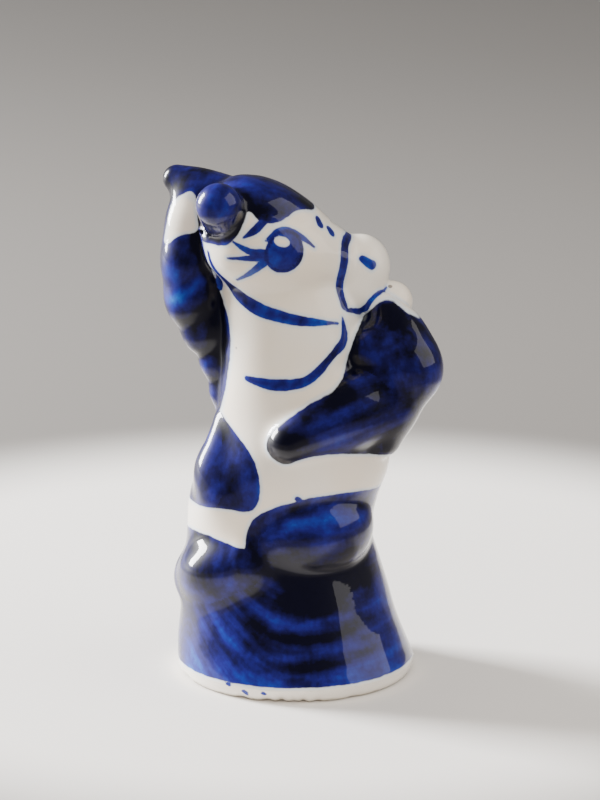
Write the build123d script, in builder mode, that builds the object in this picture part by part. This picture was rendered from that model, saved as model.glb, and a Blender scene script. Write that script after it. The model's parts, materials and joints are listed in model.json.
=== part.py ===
"""Glazed porcelain souvenir figurine: a mare in a full skirt, one hand on her belly.

The figure is taken to be slip-cast and luted: hollow castings for the skirt, the torso and the head,
with solid clay pieces (ears, forelock, mane locks, arms, thighs, tail) stuck on before firing.
Each clay piece is one solid, cut back to sit face to face on whatever it was stuck to.

Frame, in millimetres: +Z up, +X to the side that she looks towards, -Y to the side that her belly
faces, origin at the middle of the foot on the surface that she stands on.
"""

from build123d import *

import os
from math import cos, radians, sin

# ---- driving dimensions ----
WALL = 2.3  # cast wall of the skirt and the torso
HEAD_WALL = 2.4  # cast wall of the head
FOOT_THICKNESS = 1.7  # unglazed disc that closes the skirt
FOOT_EDGE = 0.5  # round on the disc's outer edge
POUR_HOLE_RADIUS = 4.0  # slip is poured in and drained out here
POUR_HOLE_EDGE = 0.4
VENT_RADIUS = 1.5  # lets air out of the head while it is fired
SEAM_HEIGHT = 17.0  # skirt and torso castings meet here
HOLLOW_TOP = 45.0  # the torso's hollow ends here, and the neck above it is solid clay

# Level ellipses of the main form: height, left, right, front, back.
SKIRT_LEVELS = [
    (FOOT_THICKNESS, -15.3, 15.1, -14.9, 14.6),
    (4.0, -15.3, 14.2, -14.1, 13.8),
    (7.0, -15.0, 13.0, -13.0, 12.9),
    (11.0, -14.6, 11.8, -11.8, 12.1),
    (SEAM_HEIGHT, -14.0, 10.0, -10.6, 11.1),
]
TORSO_LEVELS = [
    (SEAM_HEIGHT, -14.0, 10.0, -10.6, 11.1),
    (20.0, -13.9, 9.7, -10.3, 10.7),
    (23.5, -13.6, 10.5, -10.4, 10.1),
    (27.5, -12.3, 11.8, -10.7, 9.6),
    (32.0, -10.2, 11.4, -10.2, 9.0),
    (36.5, -9.7, 10.2, -9.3, 8.5),
    (41.0, -9.5, 9.0, -8.5, 8.2),
    (45.0, -9.4, 8.3, -7.8, 7.9),
    (48.6, -9.3, 7.2, -7.0, 7.2),
    (51.4, -8.6, 4.8, -5.6, 6.2),
    (53.6, -6.6, 1.4, -3.4, 4.2),
]

# The head points along +X, turned away from the front and dipped at the nose.
HEAD_CENTRE = (-2.6, -0.5, 55.2)
HEAD_TURN = 20.0
HEAD_DIP = 14.0
# Sections across the head: distance forward, half width, half height, rise of the middle.
HEAD_STATIONS = [
    (-9.9, 1.3, 1.3, 1.1),
    (-8.8, 3.7, 3.5, 0.9),
    (-6.6, 5.9, 5.5, 0.6),
    (-3.5, 7.3, 6.7, 0.1),
    (0.0, 7.7, 6.9, -0.5),
    (3.5, 6.9, 6.5, -0.6),
    (6.5, 5.5, 5.6, -0.9),
    (9.0, 4.3, 4.6, -0.8),
    (10.6, 3.4, 3.6, -0.7),
]
HOLLOW_FROM, HOLLOW_TO = -7.0, 7.0  # reach of the head's cavity along its length
# The hair stands a little proud of the crown and runs out on the forehead, in the same form.
FORELOCK_STATIONS = [
    (-9.3, 1.8, 2.2, 2.6),
    (-7.6, 4.0, 3.9, 3.2),
    (-5.0, 5.3, 4.5, 3.3),
    (-2.0, 5.6, 4.5, 3.2),
    (1.2, 5.2, 4.4, 2.7),
    (3.8, 4.2, 3.9, 2.3),
    (5.6, 2.6, 2.9, 2.1),
    (6.6, 1.0, 1.5, 2.4),
]

# ---- directions of the head ----
TURN, DIP = radians(HEAD_TURN), radians(HEAD_DIP)
FORWARD = Vector(cos(TURN) * cos(DIP), sin(TURN) * cos(DIP), -sin(DIP))
FAR_SIDE = Vector(-sin(TURN), cos(TURN), 0)
HEAD_PLANE = Plane(origin=HEAD_CENTRE, x_dir=FAR_SIDE, z_dir=FORWARD)

# Half sizes along, across and up the head.
MUZZLE_CENTRE, MUZZLE_HALVES = (7.9, 2.8, 52.2), (3.9, 4.3, 4.7)
CHIN_CENTRE, CHIN_HALVES = (6.8, 1.4, 49.0), (3.6, 3.7, 3.1)

# ---- clay rolls: each station is a point and the radius there ----
NEAR_EAR = [((-7.8, -3.2, 60.0), 2.1), ((-8.9, -5.8, 61.4), 2.3), ((-9.5, -8.0, 62.2), 2.8)]
FAR_EAR = [((-8.6, 2.6, 60.4), 3.2), ((-12.0, 3.9, 61.4), 3.0), ((-15.1, 4.9, 62.9), 1.9)]
NEAR_FOREARM = [
    ((10.4, -3.9, 36.2), 5.1),
    ((6.2, -6.4, 35.3), 4.8),
    ((2.2, -8.4, 33.8), 3.7),
    ((-0.8, -9.6, 32.5), 2.7),
]
FAR_ARM = [
    ((-9.0, -2.2, 33.0), 1.5),
    ((-9.2, -3.4, 30.0), 2.6),
    ((-9.4, -4.0, 27.0), 3.5),
    ((-8.8, -5.0, 24.8), 3.4),
]
NEAR_THIGH = [
    ((-1.2, -5.9, 19.2), 5.3),
    ((1.6, -5.7, 20.0), 6.2),
    ((3.4, -4.7, 20.2), 6.3),
    ((4.6, -2.6, 20.2), 5.8),
]
FAR_THIGH = [((-11.6, -1.2, 12.6), 4.1), ((-9.7, -5.6, 14.4), 4.3), ((-6.2, -7.6, 16.0), 3.8)]
TAIL = [
    ((-0.6, 9.0, 25.0), 1.8),
    ((2.6, 10.6, 20.4), 2.5),
    ((4.0, 11.3, 14.6), 2.6),
    ((2.2, 12.2, 8.8), 2.2),
    ((-1.6, 12.8, 5.4), 1.4),
]
# The mane's locks from the crown to the nape: middle, half length, half width.
MANE_LOCKS = [
    ((-13.2, 3.2, 58.2), 5.0, 3.9),
    ((-13.5, 2.7, 53.9), 5.4, 4.3),
    ((-13.2, 2.2, 49.5), 5.4, 4.3),
    ((-11.9, 1.8, 45.1), 4.8, 3.7),
    ((-10.2, 1.5, 41.0), 4.2, 2.8),
    ((-9.4, 1.2, 37.1), 3.7, 2.0),
]
LOCK_FALL = (-0.32, -0.48, -0.82)  # the way that each lock hangs
LOCK_FLATNESS = 0.86  # a lock's thickness against its width

# Level ellipses of the puffed sleeve, in the same form as the torso's.
SLEEVE_LEVELS = [
    (28.9, 9.2, 12.4, -6.0, -2.2),
    (30.6, 7.8, 14.0, -7.8, 0.0),
    (34.5, 6.8, 16.0, -8.8, 1.2),
    (38.0, 6.4, 17.8, -9.0, 1.6),
    (41.4, 6.2, 18.6, -8.6, 2.0),
    (44.2, 7.0, 17.6, -7.0, 2.4),
    (46.6, 8.8, 15.4, -4.8, 2.4),
    (48.3, 10.4, 13.2, -2.8, 1.6),
]
RAISED_HOOF = [((11.4, 1.2, 46.0), 2.5), ((12.0, 2.5, 47.6), 2.7)]

DOME_ANGLES = (84, 48)  # where the sections that round off the end of a roll stand, in degrees
OVOID_ANGLES = (8, 26, 48, 70, 90, 110, 132, 154, 172)
OVERSHOOT = 1.0  # how far a cutter runs past the face that it opens
ASKEW = Vector(0.2, 0.3, 1)  # no roll runs this way, so it can set a section's x


def stacked(levels, inset=0.0):
    """A smooth form through level ellipses, drawn in by inset all round."""
    with BuildPart() as form:
        for height, left, right, front, back in levels:
            with BuildSketch(Plane.XY.offset(height)):
                with Locations(((left + right) / 2, (front + back) / 2)):
                    Ellipse((right - left) / 2 - inset, (back - front) / 2 - inset)
        loft()
    return form.part


def across_head(stations, inset=0.0):
    """A smooth form through sections that stand across the head's length."""
    with BuildPart() as form:
        for forward, half_width, half_height, rise in stations:
            with BuildSketch(HEAD_PLANE.offset(forward)):
                with Locations((0, rise)):
                    Ellipse(half_width - inset, half_height - inset)
        loft()
    return form.part


def directions(points):
    """The way that a line through the points runs at each of them."""
    last = len(points) - 1
    return [
        (points[min(i + 1, last)] - points[max(i - 1, 0)]).normalized() for i in range(last + 1)
    ]


def roll(stations):
    """A roll of clay along the stations, rounded at both ends."""
    points = [Vector(*point) for point, _ in stations]
    radii = [radius for _, radius in stations]
    along = directions(points)
    head_dome = [
        (points[0] - along[0] * radii[0] * sin(radians(a)), radii[0] * cos(radians(a)), along[0])
        for a in DOME_ANGLES
    ]
    tail_dome = [
        (points[-1] + along[-1] * radii[-1] * sin(radians(a)), radii[-1] * cos(radians(a)), along[-1])
        for a in reversed(DOME_ANGLES)
    ]
    with BuildPart() as form:
        for point, radius, way in [*head_dome, *zip(points, radii, along), *tail_dome]:
            with BuildSketch(Plane(origin=point, x_dir=way.cross(ASKEW), z_dir=way)):
                Circle(radius)
        loft()
    return form.part


def ovoid(plane, half_length, half_width, half_height):
    """A ball of clay pressed to three half sizes, its length along the plane's z."""
    with BuildPart() as form:
        for angle in OVOID_ANGLES:
            a = radians(angle)
            with BuildSketch(plane.offset(-half_length * cos(a))):
                Ellipse(half_width * sin(a), half_height * sin(a))
        loft()
    return form.part


def cut_back(piece, *under):
    """Cut the open piece back to the forms that it was stuck on, and drop what that cuts loose."""
    for form in under:
        add(form, mode=Mode.SUBTRACT)
    add(piece.solids().sort_by(SortBy.VOLUME)[-1], mode=Mode.REPLACE)


def write(piece, name):
    """One STEP file for each node."""
    piece.part.label = name
    export_step(piece.part, f"parts/{name}.step")


os.makedirs("parts", exist_ok=True)

# ---- outer forms, used whole as cutters for what sits on them ----
skirt_form = stacked(SKIRT_LEVELS)
torso_form = stacked(TORSO_LEVELS)
head_form = across_head(HEAD_STATIONS)
with BuildPart() as muzzle_whole:
    for centre, halves in ((MUZZLE_CENTRE, MUZZLE_HALVES), (CHIN_CENTRE, CHIN_HALVES)):
        add(ovoid(Plane(origin=centre, x_dir=FAR_SIDE, z_dir=FORWARD), *halves))
muzzle_form = muzzle_whole.part
forelock_form = across_head(FORELOCK_STATIONS)
ear_forms = {"near_ear": roll(NEAR_EAR), "far_ear": roll(FAR_EAR)}
forearm_form = roll(NEAR_FOREARM)
sleeve_form = stacked(SLEEVE_LEVELS)
near_thigh_form = roll(NEAR_THIGH)

# ---- foot disc: bare biscuit ware with the pour hole ----
_, left, right, front, back = SKIRT_LEVELS[0]
with BuildPart() as foot_disc:
    with BuildSketch():
        with Locations(((left + right) / 2, (front + back) / 2)):
            Ellipse((right - left) / 2, (back - front) / 2)
    extrude(amount=FOOT_THICKNESS)
    fillet(foot_disc.edges().group_by(Axis.Z)[0], FOOT_EDGE)
    with Locations((0, 0, FOOT_THICKNESS)):
        Hole(POUR_HOLE_RADIUS)
    fillet(foot_disc.edges().filter_by(GeomType.CIRCLE).group_by(Axis.Z)[0], POUR_HOLE_EDGE)
write(foot_disc, "foot_disc")

# ---- skirt casting: open at both ends ----
with BuildPart() as skirt_casting:
    add(skirt_form)
    add(stacked(SKIRT_LEVELS, WALL), mode=Mode.SUBTRACT)
write(skirt_casting, "skirt_casting")

# ---- torso casting: open below, its neck hollowed to seat the head and pierced by the vent ----
torso_hollow = [row for row in TORSO_LEVELS if row[0] <= HOLLOW_TOP]
vent_depth = HEAD_CENTRE[2] - HOLLOW_TOP + OVERSHOOT
with BuildPart() as torso_casting:
    add(torso_form)
    add(stacked(torso_hollow, WALL), mode=Mode.SUBTRACT)
    add(head_form, mode=Mode.SUBTRACT)
    with Locations(HEAD_CENTRE):
        Hole(VENT_RADIUS, depth=vent_depth)
write(torso_casting, "torso_casting")

# ---- head casting: a closed shell seated on the neck, vented into the torso ----
head_hollow = [row for row in HEAD_STATIONS if HOLLOW_FROM <= row[0] <= HOLLOW_TO]
with BuildPart() as head_casting:
    add(head_form)
    add(across_head(head_hollow, HEAD_WALL), mode=Mode.SUBTRACT)
    with Locations(HEAD_CENTRE):
        Hole(VENT_RADIUS, depth=vent_depth)
write(head_casting, "head_casting")

# ---- pieces stuck on the head ----
with BuildPart() as muzzle:
    add(muzzle_form)
    cut_back(muzzle, head_form, torso_form)
write(muzzle, "muzzle")

with BuildPart() as forelock:
    add(forelock_form)
    cut_back(forelock, head_form)
write(forelock, "forelock")

for name, form in ear_forms.items():
    with BuildPart() as ear:
        add(form)
        cut_back(ear, head_form, forelock_form)
    write(ear, name)

# ---- mane: a row of locks, each cut back to the ones above ----
lock_forms = []
for number, (middle, half_length, half_width) in enumerate(MANE_LOCKS, start=1):
    hang = Plane(origin=middle, x_dir=(0, 1, 0), z_dir=LOCK_FALL)
    lock_form = ovoid(hang, half_length, half_width, half_width * LOCK_FLATNESS)
    with BuildPart() as lock:
        add(lock_form)
        cut_back(lock, head_form, torso_form, forelock_form, ear_forms["far_ear"], *lock_forms)
    lock_forms.append(lock_form)
    write(lock, f"mane_lock_{number}")

# ---- arms ----
with BuildPart() as near_forearm:
    add(forearm_form)
    cut_back(near_forearm, torso_form)
write(near_forearm, "near_forearm")

with BuildPart() as near_sleeve:
    add(sleeve_form)
    cut_back(near_sleeve, torso_form, head_form, muzzle_form, forearm_form)
write(near_sleeve, "near_sleeve")

with BuildPart() as raised_hoof:
    add(roll(RAISED_HOOF))
    cut_back(raised_hoof, torso_form, head_form, muzzle_form, sleeve_form)
write(raised_hoof, "raised_hoof")

with BuildPart() as far_arm:
    add(roll(FAR_ARM))
    cut_back(far_arm, torso_form)
write(far_arm, "far_arm")

# ---- lap and tail ----
with BuildPart() as near_thigh:
    add(near_thigh_form)
    cut_back(near_thigh, skirt_form, torso_form)
write(near_thigh, "near_thigh")

with BuildPart() as far_thigh:
    add(roll(FAR_THIGH))
    cut_back(far_thigh, skirt_form, torso_form, near_thigh_form)
write(far_thigh, "far_thigh")

with BuildPart() as tail:
    add(roll(TAIL))
    cut_back(tail, skirt_form, torso_form)
write(tail, "tail")
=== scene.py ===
"""Looks of the glazed porcelain mare: one smooth skin over every form, cut into the CAD's pieces.

The forms are distances in millimetres, in the frame's own axes. They run into each other with soft
fillets, as clay does under a glaze, and the skin where the joined distance is nothing becomes one
mesh. Each piece takes the part of the skin that lies nearest to its own form. The paint and the
normals run on across the seams between pieces, so they don't show. The painting is drawn as distances
too, and the glaze material turns those into brushed cobalt.
"""

import json
from math import cos, pi, radians, sin

import bpy
import numpy as np
import openvdb
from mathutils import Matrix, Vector


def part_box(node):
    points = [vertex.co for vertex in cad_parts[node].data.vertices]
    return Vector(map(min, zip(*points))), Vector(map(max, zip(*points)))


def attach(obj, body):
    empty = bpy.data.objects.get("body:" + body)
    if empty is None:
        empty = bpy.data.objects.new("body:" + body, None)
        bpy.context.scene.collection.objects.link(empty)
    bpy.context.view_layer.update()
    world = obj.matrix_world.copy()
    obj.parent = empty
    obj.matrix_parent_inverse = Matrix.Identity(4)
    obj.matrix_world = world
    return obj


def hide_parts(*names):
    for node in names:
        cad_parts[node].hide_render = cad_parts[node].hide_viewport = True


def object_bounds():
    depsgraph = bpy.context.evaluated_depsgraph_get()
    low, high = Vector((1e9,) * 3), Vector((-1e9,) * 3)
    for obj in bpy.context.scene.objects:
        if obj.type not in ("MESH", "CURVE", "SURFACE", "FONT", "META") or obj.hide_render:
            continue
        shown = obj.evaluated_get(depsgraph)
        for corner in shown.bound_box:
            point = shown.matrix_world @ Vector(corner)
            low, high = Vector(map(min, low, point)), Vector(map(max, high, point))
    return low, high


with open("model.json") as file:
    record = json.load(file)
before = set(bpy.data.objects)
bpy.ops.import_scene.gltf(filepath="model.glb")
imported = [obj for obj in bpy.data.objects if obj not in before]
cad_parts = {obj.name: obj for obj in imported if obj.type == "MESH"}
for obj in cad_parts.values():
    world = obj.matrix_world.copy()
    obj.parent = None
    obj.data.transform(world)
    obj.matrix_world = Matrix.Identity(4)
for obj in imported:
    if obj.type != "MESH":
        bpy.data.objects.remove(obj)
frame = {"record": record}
cad_low, cad_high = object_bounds()

MM = 0.001

# ---------------------------------------------------------------- the making of the skin, in mm
VOXEL = 0.25  # spacing of the skin's points
BLOCK = 4  # points along each side of a coarse block
MARGIN = 2  # room left round the CAD's box
BAND_SLACK = 0.8  # a block is worked out in full up to this much over its own size from the skin
SETTLE_SHARE = 0.9  # how much of its distance a point moves in each round of settling
WALL = 0.9  # depth of the skin pieces behind the glaze
CLOSE_REACH = 0.06  # how far off the skin's slope is measured
TINY, TINY_AREA = 1e-6, 1e-9  # keep a division from being by nothing
COLUMN_SAMPLES, SECTION_SAMPLES, ROLL_SAMPLES, FOOT_SAMPLES = 200, 120, 36, 400
STROKE_SAMPLES, STREAK_SAMPLES = 9, 24
GLAZE_FLOW = 0.3  # the glaze levels out anything narrower than this
RIPPLE = 0.05  # unevenness of the hand-finished surface
RIPPLE_WAVES = [
    # one wave each: its direction times its radians for each mm, then its phase
    (0.61, 0.22, 0.35, 0.4),
    (-0.33, 0.57, 0.41, 2.1),
    (0.18, -0.64, 0.52, 3.9),
    (0.75, 0.38, -0.29, 5.2),
    (-0.21, 0.12, 0.93, 1.3),
]
FAR_OFF = 9.0  # any distance well clear of the skin

# ---------------------------------------------------------------- driving dimensions, in mm
SHOULDER_FILLET, ELBOW_FILLET, CHIN_FILLET, MANE_FILLET = 1.6, 2.2, 3.0, 1.8
FOOT_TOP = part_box("foot_disc")[1][2] / MM
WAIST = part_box("skirt_casting")[1][2] / MM

# Level ellipses of the standing form: height, left, right, front, back.
COLUMN = [
    (-3.0, -15.0, 15.0, -14.6, 14.4),
    (1.7, -15.2, 15.0, -14.8, 14.5),
    (4.0, -15.2, 14.1, -14.0, 13.7),
    (7.0, -14.9, 12.9, -12.9, 12.8),
    (11.0, -14.5, 11.7, -11.7, 12.0),
    (15.0, -14.1, 10.5, -10.8, 11.3),
    (19.0, -13.9, 9.5, -10.3, 10.8),
    (23.0, -13.6, 10.3, -10.3, 10.2),
    (27.5, -12.2, 11.7, -10.6, 9.6),
    (32.0, -10.0, 11.4, -10.2, 9.0),
    (36.5, -9.6, 10.2, -9.3, 8.5),
    (41.0, -9.4, 9.0, -8.5, 8.2),
    (45.0, -9.4, 8.4, -7.8, 7.9),
    (48.6, -9.4, 7.4, -7.0, 7.2),
    (52.0, -8.6, 4.4, -5.4, 6.2),
    (54.0, -6.0, 0.0, -3.0, 3.6),
]

# The head's own axes: forward to the muzzle, across to the far side, and up through the crown.
HEAD_CENTRE = (-2.6, -0.5, 55.2)
HEAD_TURN, HEAD_DIP = radians(20), radians(14)
FORWARD = np.array((cos(HEAD_TURN) * cos(HEAD_DIP), sin(HEAD_TURN) * cos(HEAD_DIP), -sin(HEAD_DIP)))
FAR_SIDE = np.array((-sin(HEAD_TURN), cos(HEAD_TURN), 0))
HEAD_UP = np.cross(FORWARD, FAR_SIDE)
HEAD_AXES = (FORWARD, FAR_SIDE, HEAD_UP)

# Sections of the head: distance forward, half width, lowest, highest.
HEAD = [
    (-9.6, 2.2, -0.9, 3.2),
    (-8.4, 4.4, -3.1, 4.8),
    (-6.2, 6.2, -5.1, 6.3),
    (-3.2, 7.3, -6.5, 7.0),
    (0.0, 7.6, -7.2, 6.4),
    (3.4, 6.9, -7.0, 5.6),
    (6.6, 5.5, -6.4, 4.4),
    (9.2, 4.3, -5.3, 3.4),
    (10.6, 3.4, -4.3, 2.9),
]
FORELOCK = [
    (-9.6, 2.2, 1.4, 5.4),
    (-7.4, 4.3, 1.2, 7.5),
    (-4.6, 5.4, 0.6, 8.3),
    (-1.6, 5.6, 0.2, 8.1),
    (1.4, 5.1, 0.2, 7.2),
    (3.8, 4.0, 0.4, 6.1),
    (5.6, 2.5, 0.8, 5.0),
]
MUZZLE_CENTRE, MUZZLE_HALVES = (7.9, 2.8, 51.8), (3.8, 4.2, 4.3)
CHIN_CENTRE, CHIN_HALVES = (6.8, 1.4, 49.0), (3.5, 3.6, 3.0)

# Rolls of clay: points along the middle, each with its radius.
NEAR_EAR = [
    (-7.8, -3.2, 59.2, 2.8),
    (-8.9, -5.6, 60.3, 2.9),
    (-9.5, -7.8, 61.9, 2.8),
]
FAR_EAR = [(-8.6, 2.6, 60.4, 3.2), (-12.0, 3.9, 61.4, 2.9), (-15.0, 4.9, 62.8, 1.75)]
NEAR_FOREARM = [
    (10.4, -3.9, 36.2, 5.0),
    (6.2, -6.4, 35.3, 4.7),
    (2.2, -8.4, 33.8, 3.6),
    (-0.8, -9.6, 32.5, 2.6),
]
UPPER_ARM = [(7.4, -1.8, 42.6, 2.8), (10.0, -2.8, 42.4, 3.9), (13.2, -3.4, 41.0, 4.5)]
RAISED_ARM = [(13.7, -3.6, 40.0, 4.2), (12.7, -2.2, 43.8, 3.9), (10.8, -0.6, 47.2, 2.1)]
ELBOW = [(13.7, -3.8, 40.4, 4.2), (11.4, -4.2, 36.0, 3.7), (10.3, -4.3, 32.0, 3.0)]
RAISED_HOOF = [(11.4, 1.2, 46.2, 2.4), (12.0, 2.5, 47.6, 2.6)]
FAR_ARM = [
    (-9.0, -2.0, 33.0, 1.2),
    (-9.2, -3.2, 30.0, 2.3),
    (-9.4, -3.6, 27.0, 3.3),
    (-8.8, -4.6, 24.8, 3.2),
]
NEAR_THIGH = [
    (-1.8, -5.9, 19.2, 5.1),
    (1.4, -5.5, 19.9, 6.1),
    (3.2, -4.3, 20.2, 6.3),
    (4.0, -2.2, 20.2, 5.7),
]
FAR_THIGH = [(-11.6, -1.2, 12.6, 4.0), (-9.7, -5.4, 14.4, 4.2), (-6.2, -7.4, 16.0, 3.6)]
TAIL = [
    (-0.6, 9.0, 25.0, 1.6),
    (2.6, 10.4, 20.4, 2.4),
    (4.0, 11.1, 14.6, 2.5),
    (2.2, 12.0, 8.8, 2.1),
    (-1.6, 12.6, 5.4, 1.3),
]
# The mane runs down the nape along this spine, and its locks stand out from it.
MANE_SPINE = [
    (-12.7, 3.5, 60.2, 3.0),
    (-12.9, 2.9, 56.2, 3.9),
    (-12.9, 2.4, 51.8, 4.1),
    (-12.2, 2.0, 47.4, 3.9),
    (-10.2, 1.7, 43.0, 2.9),
    (-9.4, 1.4, 38.6, 2.1),
    (-9.1, 1.2, 34.4, 1.2),
]
LOCK_COUNT = 6
LOCK_STRETCH = 1.25  # half a lock's length against the spine's radius there
LOCK_SWELL = 0.97  # half a lock's width against the spine's radius
SPINE_SHARE = 0.94  # the roll that joins the locks, against the spine's radius
LOCK_FALL = np.array((-0.32, -0.48, -0.82))  # the way that each lock hangs
LOCK_FLATNESS = 0.97
LOCK_FILLET = 1.4

# The foot's outer side and sole: how far in, how high, and how much of a chip shows there.
FOOT_PROFILE = [
    (0.0, 1.7, 0.0),
    (0.08, 1.2, 0.1),
    (0.28, 0.7, 0.5),
    (0.6, 0.22, 1.0),
    (0.95, 0.0, 1.0),
]
FOOT_SIDES = 360
HOLE, HOLE_EDGE = 4.0, 0.4
FOOT_SHARP = radians(40)  # edges of the foot that turn by more than this stay sharp
# Chips along the lower edge: where in degrees round from +X, half width in degrees, and depth.
CHIPS = [
    (-104, 3.0, 0.3),
    (-97, 2.2, 0.42),
    (-91, 2.6, 0.28),
    (-86, 1.6, 0.36),
    (-79, 2.4, 0.22),
    (-118, 3.5, 0.25),
    (-60, 4.0, 0.16),
    (20, 5.0, 0.2),
    (75, 3.0, 0.3),
    (140, 4.0, 0.22),
    (-160, 3.5, 0.18),
]
CHIP_LIFT = 0.5

# ---------------------------------------------------------------- colours
FLOOR = 2.0  # half the floor's side, in metres
PAINTED_LIGHT_MIDDLE = (0, 0.025, 0)  # the middle of a painted pool of light, where the paper is palest
# The paper's colour in the painted pool of light, in painted shade, and in deeper painted shade furthest
# off.
PAPER_IN_PAINTED_LIGHT, PAPER_IN_PAINTED_SHADE, PAPER_IN_DEEPER_PAINTED_SHADE = (0.82, 0.79, 0.76), (0.15, 0.14, 0.13), (0.09, 0.084, 0.078)
WHITE = (0.85, 0.80, 0.725)
WARM_WHITE = (0.86, 0.755, 0.625)
HALO = (0.42, 0.6, 0.8)
SPECK = (0.08, 0.06, 0.05)
BISCUIT, BISCUIT_DARK = (0.66, 0.62, 0.54), (0.38, 0.34, 0.28)
# The cobalt from its lightest to its darkest: from thinnest to thickest, and from painted highlight to
# painted shade.
COBALT = [
    (0.0, (0.02, 0.22, 0.56)),
    (0.2, (0.008, 0.085, 0.38)),
    (0.4, (0.010, 0.024, 0.25)),
    (0.6, (0.010, 0.009, 0.14)),
    (0.8, (0.005, 0.004, 0.055)),
    (1.0, (0.001, 0.001, 0.008)),
]

# ---------------------------------------------------------------- where the painter's brush went, and the painted shade and highlights
# Closed outlines of cobalt as seen from the front, in X and Z.
ARM_PAINT = [
    (11.2, 49.4),
    (8.4, 46.8),
    (6.6, 43.6),
    (5.6, 39.2),
    (1.6, 37.6),
    (-3.2, 34.0),
    (-4.0, 31.4),
    (-1.6, 29.6),
    (1.0, 31.0),
    (6.0, 31.1),
    (12.0, 29.4),
    (22.0, 31.0),
    (22.0, 44.0),
    (14.4, 46.9),
]
LAP_PAINT = [
    (-6.3, 15.0),
    (-6.5, 21.8),
    (-3.4, 24.2),
    (2.0, 25.7),
    (8.0, 25.8),
    (15.0, 23.6),
    (15.0, 15.0),
]
BARE_PATCH = [  # bare glaze between the ears and the mane
    (-12.6, 62.4),
    (-15.6, 60.6),
    (-16.2, 57.4),
    (-16.6, 54.8),
    (-14.6, 56.8),
    (-12.0, 57.0),
    (-12.4, 59.6),
]
BARE_BEFORE = 3.0  # that patch faces the front, and ends at this Y
FAR_ARM_PAINT = [
    (-12.0, 37.0),
    (-8.6, 33.8),
    (-4.4, 29.6),
    (-4.6, 23.0),
    (-10.0, 23.8),
    (-20.0, 21.4),
    (-20.0, 31.0),
]
MANE_PAINT = [
    (-12.2, 61.0),
    (-11.3, 54.6),
    (-9.4, 49.4),
    (-8.0, 45.8),
    (-8.4, 39.6),
    (-10.2, 31.6),
    (-20.0, 31.0),
    (-20.0, 61.0),
]
# The hair's outline as seen from the side of the head: forward and up from the head's centre.
HAIR_PAINT = [
    (-8.6, -1.4),
    (-7.2, 1.6),
    (-6.7, 4.9),
    (-5.0, 3.2),
    (-2.6, 3.8),
    (0.0, 6.0),
    (3.6, 5.6),
    (4.6, 12.0),
    (-20.0, 12.0),
    (-20.0, -1.0),
]
HEM_PAINT_FOOT = 2.1  # the skirt's cobalt stops this high above the surface
HEM_PAINT_TOP = [
    # its upper edge all round: degrees from the front towards the near side, and height
    (-180, 19.6),
    (-110, 18.6),
    (-60, 19.6),
    (-30, 18.8),
    (30, 20.0),
    (90, 21.5),
    (180, 19.6),
]
EYE_CENTRE, EYE_HALVES, EYE_TILT = (-1.6, 0.6), (2.45, 2.75), radians(-18)
EYE_RIM = 0.45
EYE_NEAREST = 4.0  # the eyes lie further out to the side than this
GLINT_CENTRE, GLINT_HALVES = (-2.2, 1.75), (1.0, 0.55)  # a spot left bare in the eye
# Single strokes on both sides of the head: forward, across, up and half the stroke's width.
HEAD_STROKES = [
    [(-4.2, -7.0, 1.5, 0.2), (-2.6, -6.8, 3.0, 0.5), (0.0, -6.7, 2.8, 0.5), (2.3, -6.6, 1.7, 0.2)],
    [(-3.4, -7.1, 0.0, 0.6), (-5.6, -6.4, -0.3, 0.5), (-7.7, -5.2, 0.4, 0.15)],
    [(-3.4, -7.1, -0.3, 0.6), (-5.5, -6.4, -1.1, 0.45), (-7.9, -4.6, -2.0, 0.15)],
    [(-3.4, -7.1, -0.6, 0.6), (-4.4, -6.4, -2.3, 0.5), (-5.7, -4.0, -4.6, 0.15)],
    [(-4.6, -6.0, 3.8, 0.6), (-5.6, -6.2, 2.4, 0.5), (-6.7, -5.9, 1.2, 0.15)],
    [
        (-9.0, -1.0, -2.2, 0.4),
        (-6.6, -1.0, -5.0, 0.75),
        (-3.1, -3.8, -7.1, 0.85),
        (2.4, -7.4, -7.5, 0.65),
        (7.4, -7.4, -7.0, 0.2),
    ],
    [(8.6, -1.0, 3.1, 0.45), (7.5, -3.8, 2.5, 0.7), (7.4, -5.1, -0.8, 0.75), (8.3, -6.2, -4.9, 0.6)],
    [(8.6, -6.3, -5.4, 0.25), (11.0, -4.6, -5.4, 0.45), (13.0, -4.8, -3.4, 0.4), (14.4, -3.4, -2.1, 0.2)],
    [(10.2, -3.8, 0.9, 0.5), (11.3, -4.1, 0.4, 0.65)],
    [(3.3, -4.2, 5.0, 0.6), (3.5, -4.4, 4.6, 0.65)],
    [(5.1, -4.0, 4.1, 0.6), (5.3, -4.1, 3.7, 0.65)],
]
# Single strokes and stray drops on the body: X, Y, Z and half the stroke's width.
BODY_STROKES = [
    [(-6.4, -6.9, 39.9, 0.3), (-3.0, -8.3, 39.5, 0.75), (1.0, -8.6, 39.9, 0.65), (4.6, -6.9, 43.0, 0.5)],
    [(4.4, -7.0, 42.8, 0.5), (5.9, -5.5, 44.6, 0.65), (5.8, -5.0, 47.2, 0.2)],
    [(0.1, -10.4, 25.4, 0.4), (0.4, -10.4, 25.2, 0.4)],
]
# Stray drops on the foot's pale edge.
FOOT_DROPS = [
    [(-6.6, -13.4, 1.1, 0.42), (-6.3, -13.5, 0.9, 0.42)],
    [(-4.2, -14.3, 1.25, 0.36), (-4.0, -14.3, 1.15, 0.36)],
    [(-8.7, -12.4, 1.9, 0.3), (-8.5, -12.5, 1.75, 0.3)],
]
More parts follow.
